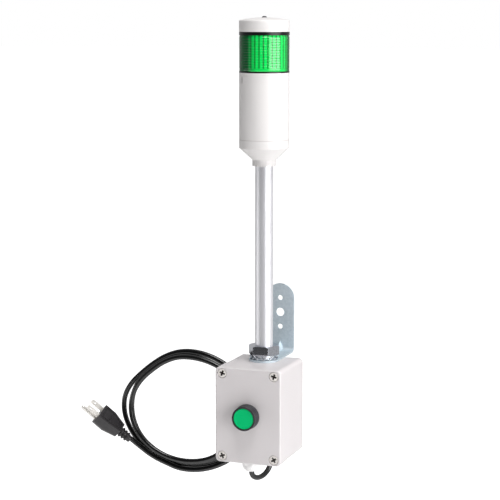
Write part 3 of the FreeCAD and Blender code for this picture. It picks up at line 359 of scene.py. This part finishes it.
def shaded_notch(finish, centre_mm, half_mm, colour):
    """The shade in a small moulded notch, as an ellipsoid of another colour."""
    tree = finish.node_tree
    place, _ = object_place(tree)
    away = vector_maths(tree, "SUBTRACT", place, tuple(c * MM for c in centre_mm))
    scaled = vector_maths(tree, "MULTIPLY", away, tuple(1 / (h * MM) for h in half_mm))
    paint_over(finish, ranged(tree, vector_maths(tree, "LENGTH", scaled), 0.8, 1.1, 1.0, 0.0), colour)


joint_line(lamp_abs, height_mm=211.7, width_mm=0.5, colour="#C4BEBC")
shaded_notch(lamp_abs, centre_mm=(-19.2, -81.5, 280.3), half_mm=(0.8, 0.8, 4.6), colour="#8E8886")
# The dark cross in each screw head is painted shade in the driver recess.
paint_shade_behind(screw_nylon, front_mm=-115.2, depth_mm=0.5, colour="#2A211C")
groove(bezel_nylon, "Y", pitch_mm=1.4, depth_mm=0.12)
print("marks on", lamp_abs.name, screw_nylon.name, bezel_nylon.name)

# %% [markdown]
# ## Metals
# The bracket and washers are zinc plated steel, the nut is nickel plated, the pole is drawn and
# anodised aluminium. Metals keep the default IOR, and what tells them apart is their tint and how
# the surface was made: plating is cloudy, a drawn tube has fine lines along it.


# %% A plated or drawn metal finish
ROUGHNESS_SWING = 0.08
METAL_GRAIN_MM = 0.6


def bare_metal(name, colour, shade, roughness, cloud_mm=6, relief_mm=0.01, stretch=(1, 1, 1),
               metallic=1.0):
    """Metal whose tint and gloss follow the same clouds, over a fine grain."""
    finish, tree, shader = new_finish(name)
    place, _ = object_place(tree)
    drawn = add_node(tree, "ShaderNodeMapping", {"Vector": place, "Scale": stretch}).outputs["Vector"]
    clouds = noise(tree, drawn, cloud_mm, 5.0)
    sheen = ranged(tree, clouds, 0.0, 1.0, roughness - ROUGHNESS_SWING, roughness + ROUGHNESS_SWING)
    relief = bump(tree, noise(tree, drawn, METAL_GRAIN_MM, 3.0), relief_mm)
    tree.links.new(colour_mix(tree, clouds, linear(colour), linear(shade)), shader.inputs["Base Color"])
    tree.links.new(sheen, shader.inputs["Roughness"])
    tree.links.new(relief, shader.inputs["Normal"])
    shader.inputs["Metallic"].default_value = metallic
    return finish


bracket_zinc = bare_metal("zinc_plated_steel", "#E6F0F6", "#BCCCD6", 0.46, cloud_mm=3, relief_mm=0.003,
                          metallic=0.55)
pole_aluminium = bare_metal("anodised_aluminium", "#EEEEF2", "#E8E8EC", 0.38, relief_mm=0.0004,
                            stretch=(1, 1, 0.02), metallic=0.55)
nut_nickel = bare_metal("nickel_plated_steel", "#F6F8FF", "#C4C8D2", 0.09, cloud_mm=2.5,
                        relief_mm=0.003)
washer_zinc = bare_metal("zinc_plated_spring_steel", "#FBFDFF", "#DCE6F0", 0.14, cloud_mm=3,
                         relief_mm=0.001, metallic=0.8)
screw_steel = bare_metal("black_oxide_steel", "#4A4A4E", "#38383C", 0.35)
spring_steel = bare_metal("spring_steel", "#B4B4B2", "#9C9C9A", 0.28)
blade_brass = bare_metal("nickel_plated_brass", "#FFFDF9", "#FBF5EC", 0.30, cloud_mm=12,
                         relief_mm=0.0002, metallic=0.5)
terminal_brass = bare_metal("brass", "#C9A65A", "#B8934A", 0.30)
print("finishes so far", len(bpy.data.materials))

# %% [markdown]
# ## Green lens
# The lens is moulded in clear green acrylic. Its outside has low rings and its inside has upright
# flutes. The flutes gather the light, so they show as bright and dark stripes, and here the stripes
# are painted by the angle round the pole: the angle comes from an arctangent of Object coordinates,
# and a sine of 36 times that angle repeats once per flute. The flutes on the brighter side of the room
# fill with light and the others stay deep green. That is a second, slower pattern round the pole,
# fixed to the lens, where a real clear lens would need many bounces of light through its wall. The
# deep green is also less glossy, so that it stays deep, and a faint glow stands for the light that a
# clear wall passes on.

# %% The lens finish
POLE_Y = -60.0
LENS_RADIUS = 28.75
FLUTES = 36
FLUTES_FROM = 293.6
FLUTES_FULL = 294.0
CLOUD_MM = 4
STRIPE_DARK = linear("#007C30")
STRIPE_LIGHT = linear("#00E65E")
UNLIT_GREEN = linear("#005426")
FILLED_TOWARD = math.radians(33)
FILLED_NONE, FILLED_FULL = 0.53, 0.86
DEEP_GLOSS, FULL_GLOSS = 0.35, 1.0
GLOW = 0.03

lens_acrylic, lens_tree, lens_shader = new_finish("acrylic_green_clear")
lens_place, lens_parts = object_place(lens_tree)
around = maths(lens_tree, "ARCTAN2", maths(lens_tree, "SUBTRACT", lens_parts["Y"], POLE_Y * MM),
               lens_parts["X"])
wave = maths(lens_tree, "SINE", maths(lens_tree, "MULTIPLY", around, float(FLUTES)))
flute_band = ranged(lens_tree, lens_parts["Z"], FLUTES_FROM * MM, FLUTES_FULL * MM)
stripe = maths(lens_tree, "MULTIPLY", wave, flute_band)
cloud = maths(lens_tree, "MULTIPLY", noise(lens_tree, lens_place, CLOUD_MM, 2.0), 0.5)
stripe_mask = ranged(lens_tree, maths(lens_tree, "ADD", stripe, cloud), -0.9, 0.35, smooth=True)
stripes = colour_mix(lens_tree, stripe_mask, STRIPE_DARK, STRIPE_LIGHT)

filled_way = (math.sin(FILLED_TOWARD) / (LENS_RADIUS * MM),
              -math.cos(FILLED_TOWARD) / (LENS_RADIUS * MM), 0)
from_axis = vector_maths(lens_tree, "SUBTRACT", lens_place, (0, POLE_Y * MM, 0))
toward = vector_maths(lens_tree, "DOT_PRODUCT", from_axis, filled_way)
filled = ranged(lens_tree, toward, FILLED_NONE, FILLED_FULL, smooth=True)
lens_colour = colour_mix(lens_tree, filled, UNLIT_GREEN, stripes)
lens_gloss = ranged(lens_tree, filled, 0.0, 1.0, DEEP_GLOSS, FULL_GLOSS)

lens_tree.links.new(lens_colour, lens_shader.inputs["Base Color"])
lens_tree.links.new(lens_colour, lens_shader.inputs["Emission Color"])
lens_tree.links.new(lens_gloss, lens_shader.inputs["Specular IOR Level"])
lens_shader.inputs["Emission Strength"].default_value = GLOW
lens_shader.inputs["Roughness"].default_value = 0.12
lens_shader.inputs["IOR"].default_value = 1.49
print("flutes", FLUTES, "each", round(2 * math.pi * LENS_RADIUS / FLUTES, 2), "mm wide")

# %% [markdown]
# ## A finish for every piece
# Each CAD solid is one real piece, and it gets the finish of what it is made of, also where it stays
# inside the box or the lamp. The solids are not changed. Some of them are replaced further on by
# finer pieces, which carry the same finishes.

# %% Give every CAD node its finish
node_finishes = {
    "bracket": bracket_zinc, "pole": pole_aluminium, "pole_nut": nut_nickel,
    "tooth_washers": washer_zinc, "inner_washer": washer_zinc, "inner_nut": nut_nickel,
    "enclosure_base": box_abs, "enclosure_lid": box_abs, "lid_seal": seal_rubber,
    "lid_screws": screw_nylon, "button_bezel": bezel_nylon, "button_gasket": seal_rubber,
    "button_cap": cap_abs, "button_plunger": inner_abs, "button_spring": spring_steel,
    "button_ring_nut": ring_abs, "contact_block": bezel_nylon, "contact_screws": terminal_brass,
    "gland_washer": seal_rubber, "gland_body": gland_nylon, "gland_nut": gland_nylon,
    "gland_seal": seal_rubber, "gland_lock_nut": gland_nylon, "lamp_foot": lamp_abs,
    "foot_nut": nut_nickel, "lamp_body": lamp_abs, "light_base": lamp_abs,
    "lower_ring": ring_abs, "lens": lens_acrylic, "upper_ring": ring_abs, "top_cap": lamp_abs,
    "cap_screw": screw_steel, "tie_rod": washer_zinc, "reflector": inner_abs,
    "light_board": board_resin, "leds": light_epoxy, "driver_board": board_resin,
    "capacitors": capacitor_film, "choke": ferrite_core, "driver_connector": inner_abs,
    "led_wires": wire_pvc, "terminal_block": inner_abs, "terminal_screws": terminal_brass,
    "supply_wires": wire_pvc, "lamp_wires": wire_pvc, "button_wires": wire_pvc,
    "cord_inner": cord_pvc, "cord_lead": cord_pvc, "cord_coil": cord_pvc, "cord_tail": cord_pvc,
    "plug_body": plug_pvc, "plug_blades": blade_brass, "plug_earth_pin": blade_brass,
}
for name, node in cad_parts.items():
    node.data.materials.clear()
    node.data.materials.append(node_finishes[name])
mains_lead.data.materials.append(cord_pvc)
print("finished nodes", len(node_finishes))

# %% [markdown]
# ## Turned lens
# The lens is round, so it is a profile turned about the pole's axis. It has twelve low rings outside,
# about 3 mm apart, which break up the reflections. The flutes inside are a wave of the radius with
# the angle, on the inner points of the profile only.


# %% A turning function
def turned(name, profile, centre, steps, wave_at):
    """Turns a closed (radius, height) profile about an upright axis, with a wave of the radius."""
    rows = []
    shape = bmesh.new()
    for step in range(steps):
        angle = 2 * math.pi * step / steps
        row = []
        for index, (radius, height) in enumerate(profile):
            radius += wave_at(index, angle)
            place = (radius * math.cos(angle), radius * math.sin(angle), height)
            row.append(shape.verts.new((Vector(centre) + Vector(place)) * MM))
        rows.append(row)
    for row, following in zip(rows, rows[1:] + rows[:1]):
        for here, after, far_here, far_after in zip(row, row[1:] + row[:1],
                                                    following, following[1:] + following[:1]):
            shape.faces.new((here, after, far_after, far_here))
    bmesh.ops.recalc_face_normals(shape, faces=shape.faces)
    mesh = bpy.data.meshes.new(name)
    shape.to_mesh(mesh)
    shape.free()
    piece = bpy.data.objects.new(name, mesh)
    bpy.context.scene.collection.objects.link(piece)
    return piece


def soften(piece, degrees):
    """Smooth shading that keeps edges sharper than the angle."""
    piece.data.polygons.foreach_set("use_smooth", [True] * len(piece.data.polygons))
    piece.data.set_sharp_from_angle(angle=math.radians(degrees))


# %% Lens with rings and flutes
LENS_LOW = 290.3
LENS_TOP = 331.3
LENS_INSIDE = 26.1
LENS_STEPS = 216
RINGS = 12
RING_DEPTH = 0.45
FLUTE_DEPTH = 0.35
# Where along a ring a point stands, and how far it lies below the ring's top.
RING_SHAPE = ((0.0, 0.22), (0.05, 0.06), (0.11, 0.0), (0.89, 0.0), (0.95, 0.06), (1.0, 0.22))
ring_low = LENS_LOW + 3.4
ring_pitch = (LENS_TOP - 2.0 - ring_low) / RINGS
groove_radius = LENS_RADIUS - RING_DEPTH

lens_profile = [(LENS_INSIDE, LENS_LOW), (LENS_RADIUS - 0.2, LENS_LOW), (LENS_RADIUS, LENS_LOW + 0.2),
                (LENS_RADIUS, ring_low - 0.5), (groove_radius, ring_low - 0.25),
                (groove_radius, ring_low)]
for ring in range(RINGS):
    start = ring_low + ring * ring_pitch
    for part, drop in RING_SHAPE:
        if ring == 0 or part > 0:
            lens_profile.append((LENS_RADIUS + 0.1 - drop, start + part * ring_pitch))
first_fluted = len(lens_profile) + 2
lens_profile += [(groove_radius, LENS_TOP), (LENS_INSIDE, LENS_TOP), (LENS_INSIDE, LENS_TOP - 1.5),
                 (LENS_INSIDE, ring_low)]


def flute_wave(index, angle):
    """How far the inner wall stands out at an angle."""
    return FLUTE_DEPTH * math.sin(FLUTES * angle) if index >= first_fluted else 0


green_lens = turned("green_lens", lens_profile, (0, POLE_Y, 0), LENS_STEPS, flute_wave)
soften(green_lens, 60)
green_lens.data.materials.append(lens_acrylic)
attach(green_lens, "housing")
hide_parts("lens")
print("lens faces", len(green_lens.data.polygons), "rings", round(ring_pitch, 2), "mm apart")

# %% [markdown]
# ## Repeated pieces by node trees
# Four lid screws are one screw head put on four points. A Geometry Nodes tree says this directly: it
# builds the head once, cuts the cross recess with a boolean, places it on a grid's corners and turns
# each by a random angle, as screws stop at different angles. The tree runs once and leaves a mesh.


# %% Run a node tree once
def grown(name, tree, values):
    """Sets a tree's named inputs, runs it and keeps the result as a plain mesh."""
    piece = bpy.data.objects.new(name, bpy.data.meshes.new(name))
    bpy.context.scene.collection.objects.link(piece)
    maker = piece.modifiers.new(name, "NODES")
    maker.node_group = tree
    for item in tree.interface.items_tree:
        if item.in_out == "INPUT":
            maker[item.identifier] = values[item.name]
    graph = bpy.context.evaluated_depsgraph_get()
    mesh = bpy.data.meshes.new_from_object(piece.evaluated_get(graph))
    piece.modifiers.remove(maker)
    piece.data = mesh
    print(name, "faces", len(mesh.polygons))
    return piece


def new_tree(name, inputs):
    """A Geometry Nodes group with named inputs and one geometry output."""
    tree = bpy.data.node_groups.new(name, "GeometryNodeTree")
    for label, kind in inputs.items():
        tree.interface.new_socket(label, in_out="INPUT", socket_type=kind)
    tree.interface.new_socket("Geometry", in_out="OUTPUT", socket_type="NodeSocketGeometry")
    return tree, tree.nodes.new("NodeGroupInput").outputs


# %% Lid screw heads
HEAD_STEPS = 64
LEAST_TURN, MOST_TURN = -0.5, 0.7  # radians

screw_tree, given = new_tree("lid_screw_heads", {
    "Head Radius": "NodeSocketFloat", "Crown Radius": "NodeSocketFloat",
    "Head Height": "NodeSocketFloat", "Crown Height": "NodeSocketFloat",
    "Recess": "NodeSocketVector", "Recess Turned": "NodeSocketVector",
    "Across": "NodeSocketFloat", "Up": "NodeSocketFloat", "Place": "NodeSocketVector",
    "Seed": "NodeSocketInt", "Finish": "NodeSocketMaterial",
})
half_head = maths(screw_tree, "MULTIPLY", given["Head Height"], -0.5)
head_low = add_node(screw_tree, "ShaderNodeCombineXYZ", {"Z": half_head})
barrel = add_node(screw_tree, "GeometryNodeMeshCylinder",
                  {"Vertices": HEAD_STEPS, "Radius": given["Head Radius"],
                   "Depth": given["Head Height"]})
barrel_low = add_node(screw_tree, "GeometryNodeTransform", {"Geometry": barrel.outputs["Mesh"],
                                                            "Translation": head_low.outputs[0]})
crown = add_node(screw_tree, "GeometryNodeMeshCone",
                 {"Vertices": HEAD_STEPS, "Radius Top": given["Crown Radius"],
                  "Radius Bottom": given["Head Radius"], "Depth": given["Crown Height"]})
whole_head = add_node(screw_tree, "GeometryNodeMeshBoolean", operation="UNION", solver="EXACT")
screw_tree.links.new(barrel_low.outputs[0], whole_head.inputs["Mesh 2"])
screw_tree.links.new(crown.outputs["Mesh"], whole_head.inputs["Mesh 2"])
arm = add_node(screw_tree, "GeometryNodeMeshCube", {"Size": given["Recess"]})
other_arm = add_node(screw_tree, "GeometryNodeMeshCube", {"Size": given["Recess Turned"]})
driven = add_node(screw_tree, "GeometryNodeMeshBoolean", {"Mesh 1": whole_head.outputs["Mesh"]},
                  operation="DIFFERENCE", solver="EXACT")
screw_tree.links.new(arm.outputs["Mesh"], driven.inputs["Mesh 2"])
screw_tree.links.new(other_arm.outputs["Mesh"], driven.inputs["Mesh 2"])
corners = add_node(screw_tree, "GeometryNodeMeshGrid", {"Size X": given["Across"], "Size Y": given["Up"],
                                                        "Vertices X": 2, "Vertices Y": 2})
spin = add_node(screw_tree, "FunctionNodeRandomValue",
                {2: LEAST_TURN, 3: MOST_TURN, "Seed": given["Seed"]}, data_type="FLOAT")
spin_vector = add_node(screw_tree, "ShaderNodeCombineXYZ", {"Z": spin.outputs[1]})
set_out = add_node(screw_tree, "GeometryNodeInstanceOnPoints",
                   {"Points": corners.outputs["Mesh"], "Instance": driven.outputs["Mesh"],
                    "Rotation": spin_vector.outputs[0]})
real = add_node(screw_tree, "GeometryNodeRealizeInstances", {"Geometry": set_out.outputs[0]})
upright = add_node(screw_tree, "GeometryNodeTransform", {"Geometry": real.outputs[0],
                                                         "Translation": given["Place"],
                                                         "Rotation": (math.pi / 2, 0, 0)})
dressed = add_node(screw_tree, "GeometryNodeSetMaterial", {"Geometry": upright.outputs[0],
                                                           "Material": given["Finish"]})
add_node(screw_tree, "NodeGroupOutput", {"Geometry": dressed.outputs[0]})

screw_heads = grown("lid_screw_heads", screw_tree, {
    "Head Radius": 5.35 * MM, "Crown Radius": 4.7 * MM,
    "Head Height": 2.4 * MM, "Crown Height": 0.6 * MM,
    "Recess": Vector((6.9, 2.4, 2.6)) * MM, "Recess Turned": Vector((2.4, 6.9, 2.6)) * MM,
    "Across": 63 * MM, "Up": 97.4 * MM, "Place": Vector((0, -115.1, -103.4)) * MM,
    "Seed": 4, "Finish": screw_nylon,
})
soften(screw_heads, 30)
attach(screw_heads, "housing")
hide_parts("lid_screws")

# %% [markdown]
# ## Softened edges
# No real edge is quite sharp, and the thin light line along it shows that. The nut, the bracket, the
# plug, the enclosure's lid and base and the two tooth washers are the solids again, with every edge
# rounded by a few tenths of a millimetre. A bevel on the edges alone does this, and the faces between
# them keep their own flat normals, so a facet of the nut still mirrors one part of the room.


# %% Rounded copies of solids
WELD_MM = 0.002
FLAT_DEGREES = 1.5
SHARP_DEGREES = 24
SMOOTH_DEGREES = 40


def softened(name, node_name, radius_mm, finish, segments=2):
    """A copy of a CAD solid with its sharp edges rounded."""
    shape = bmesh.new()
    shape.from_mesh(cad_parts[node_name].data)
    bmesh.ops.remove_doubles(shape, verts=shape.verts, dist=WELD_MM * MM)
    bmesh.ops.dissolve_limit(shape, angle_limit=math.radians(FLAT_DEGREES), verts=shape.verts,
                             edges=shape.edges)
    sharp = [edge for edge in shape.edges
             if len(edge.link_faces) == 2 and edge.calc_face_angle(0) > math.radians(SHARP_DEGREES)]
    bmesh.ops.bevel(shape, geom=sharp, offset=radius_mm * MM, segments=segments, profile=0.5,
                    affect="EDGES", clamp_overlap=True)
    bmesh.ops.recalc_face_normals(shape, faces=shape.faces)
    mesh = bpy.data.meshes.new(name)
    shape.to_mesh(mesh)
    shape.free()
    piece = bpy.data.objects.new(name, mesh)
    bpy.context.scene.collection.objects.link(piece)
    soften(piece, SMOOTH_DEGREES)
    weighted = piece.modifiers.new("flat_faces_stay_flat", "WEIGHTED_NORMAL")
    weighted.keep_sharp = True
    mesh.materials.append(finish)
    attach(piece, "housing")
    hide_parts(node_name)
    print(name, "faces", len(mesh.polygons))


softened("hexagon_nut", "pole_nut", 0.7, nut_nickel)
softened("box_lid", "enclosure_lid", 0.6, box_abs, 3)
softened("box_base", "enclosure_base", 0.4, box_abs)
softened("tooth_washer_pair", "tooth_washers", 0.15, washer_zinc)
softened("wall_bracket", "bracket", 0.25, bracket_zinc)
softened("moulded_plug", "plug_body", 0.25, plug_pvc)

# %% [markdown]
# ## Return spring
# The spring behind the button shortens as the button goes in, over 4 mm of travel. Here it is the CAD
# coil again, as a copy with its own mesh that rides with the housing.

# %% A copy of the spring
return_spring = bpy.data.objects.new("return_spring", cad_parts["button_spring"].data.copy())
bpy.context.scene.collection.objects.link(return_spring)
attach(return_spring, "housing")
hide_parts("button_spring")
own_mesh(return_spring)

# %% [markdown]
# ## Floor, background and lights
# The part hangs on a wall, so the floor is well below it. A product studio has a white sweep behind
# and below the object, soft lamps at its sides, and a dim room behind the camera. The sweep is made
# white by ray type and not by more light, so the lamps stay at a plain level. Plastic and metal also
# mirror the dim room, which keeps black pieces black. The light that the room scatters back is
# stronger on the right, where the big lamp is, and behind, so that the back of the part can be seen.

# %% Floor
FLOOR_HEIGHT = -0.55
FLOOR_HALF = 40

floor_mesh = bpy.data.meshes.new("floor")
floor_mesh.from_pydata([(x * FLOOR_HALF, y * FLOOR_HALF, FLOOR_HEIGHT)
                        for x, y in ((-1, -1), (1, -1), (1, 1), (-1, 1))], [], [(0, 1, 2, 3)])
floor = bpy.data.objects.new("floor", floor_mesh)
bpy.context.scene.collection.objects.link(floor)
print("floor at", FLOOR_HEIGHT, "m")


# %% White for the rays that see the background
WHITE = (1, 1, 1, 1)
DIM_ROOM = 0.07
BRIGHT_BACK = 0.45
NEAR_TABLE = 0.95
TABLE_EDGE, TABLE_END = 1.0, 2.2
FLOOR_LIFT = 0.92
FLOOR_REACH = 1.5


def seen_from_front(tree):
    """1 for camera and transmission rays, and apart from that the glossy rays."""
    rays = add_node(tree, "ShaderNodeLightPath").outputs
    straight = maths(tree, "MAXIMUM", rays["Is Camera Ray"], rays["Is Transmission Ray"])
    return straight, rays["Is Glossy Ray"]


def room_level(tree, depth, reach):
    """Dim in front of the object and bright behind it, by the depth axis."""
    return ranged(tree, depth, -reach, reach, DIM_ROOM, BRIGHT_BACK, smooth=True)


floor_paint = bpy.data.materials.new("matt_white_floor")
floor_paint.use_nodes = True
floor_tree = floor_paint.node_tree
floor_tree.nodes.clear()
straight, glossy = seen_from_front(floor_tree)
floor_place, floor_parts = object_place(floor_tree)
lift = maths(floor_tree, "MULTIPLY", straight, FLOOR_LIFT)
matt = add_node(floor_tree, "ShaderNodeBsdfDiffuse", {"Color": linear("#F4F4F4")})
glow = add_node(floor_tree, "ShaderNodeEmission", {"Color": WHITE, "Strength": lift})
both = add_node(floor_tree, "ShaderNodeAddShader", {0: matt.outputs[0], 1: glow.outputs[0]})
from_middle = vector_maths(floor_tree, "LENGTH", floor_place)
near = ranged(floor_tree, from_middle, TABLE_EDGE, TABLE_END, NEAR_TABLE, 0.0, smooth=True)
table = maths(floor_tree, "MAXIMUM", near, room_level(floor_tree, floor_parts["Y"], FLOOR_REACH))
mirrored = add_node(floor_tree, "ShaderNodeEmission", {"Color": WHITE, "Strength": table})
surface = add_node(floor_tree, "ShaderNodeMixShader",
                   {0: glossy, 1: both.outputs[0], 2: mirrored.outputs[0]})
add_node(floor_tree, "ShaderNodeOutputMaterial", {"Surface": surface.outputs[0]})
floor_mesh.materials.append(floor_paint)
print("floor mirrors", DIM_ROOM, "to", BRIGHT_BACK, "and", NEAR_TABLE, "close by")

# %% World
AMBIENT_LEFT = 0.08
AMBIENT_RIGHT = 0.32
AMBIENT_BEHIND = 0.70
BEHIND_FROM = 0.3
SKY_REACH = 0.35

world = bpy.data.worlds.new("white_sweep")
bpy.context.scene.world = world
world.use_nodes = True
sky = world.node_tree
sky.nodes.clear()
direction = add_node(sky, "ShaderNodeTexCoord").outputs["Generated"]
parts = add_node(sky, "ShaderNodeSeparateXYZ", {"Vector": direction}).outputs
straight, glossy = seen_from_front(sky)
ambient = ranged(sky, parts["X"], -1.0, 1.0, AMBIENT_LEFT, AMBIENT_RIGHT)
behind = ranged(sky, parts["Y"], BEHIND_FROM, 1.0, 0.0, AMBIENT_BEHIND, smooth=True)
scattered = maths(sky, "MAXIMUM", ambient, behind)
mirrored = add_node(sky, "ShaderNodeMix", {"Factor": glossy, "A": scattered,
                                           "B": room_level(sky, parts["Y"], SKY_REACH)})
level = add_node(sky, "ShaderNodeMix", {"Factor": straight, "A": mirrored.outputs["Result"], "B": 1.0})
background = add_node(sky, "ShaderNodeBackground", {"Color": WHITE, "Strength": level.outputs["Result"]})
add_node(sky, "ShaderNodeOutputWorld", {"Surface": background.outputs["Background"]})
print("ambient", AMBIENT_LEFT, "left", AMBIENT_RIGHT, "right", AMBIENT_BEHIND, "behind")


# %% Lamps
def soft_lamp(name, place, aim, size, watts):
    """A rectangular softbox that points at the object."""
    lamp = bpy.data.lights.new(name, "AREA")
    lamp.shape = "RECTANGLE"
    lamp.size, lamp.size_y = size
    lamp.energy = watts
    lamp_object = bpy.data.objects.new(name, lamp)
    lamp_object.location = place
    aim_way = Vector(aim) - Vector(place)
    lamp_object.rotation_euler = aim_way.to_track_quat("-Z", "Y").to_euler()
    bpy.context.scene.collection.objects.link(lamp_object)
    print(name, "at", tuple(place), "W", watts)


MIDDLE = (0, -0.06, 0.08)
soft_lamp("right_softbox", (2.09, -0.86, 0.12), MIDDLE, (2.2, 1.4), 40)
soft_lamp("left_strip", (-1.90, -0.75, -0.31), (0, -0.06, -0.31), (1.7, 0.46), 5.5)
soft_lamp("top_softbox", (0.45, -0.50, 2.00), MIDDLE, (1.2, 1.2), 33)
soft_lamp("low_bounce", (0.05, -0.25, -0.53), (0, -0.06, -0.15), (0.8, 0.6), 0.5)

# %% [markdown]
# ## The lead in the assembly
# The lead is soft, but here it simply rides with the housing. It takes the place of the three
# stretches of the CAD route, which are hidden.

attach(mains_lead, "housing")
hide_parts("cord_lead", "cord_coil", "cord_tail")
print("lead", CORD_WIDTH, "mm thick, with its plug")
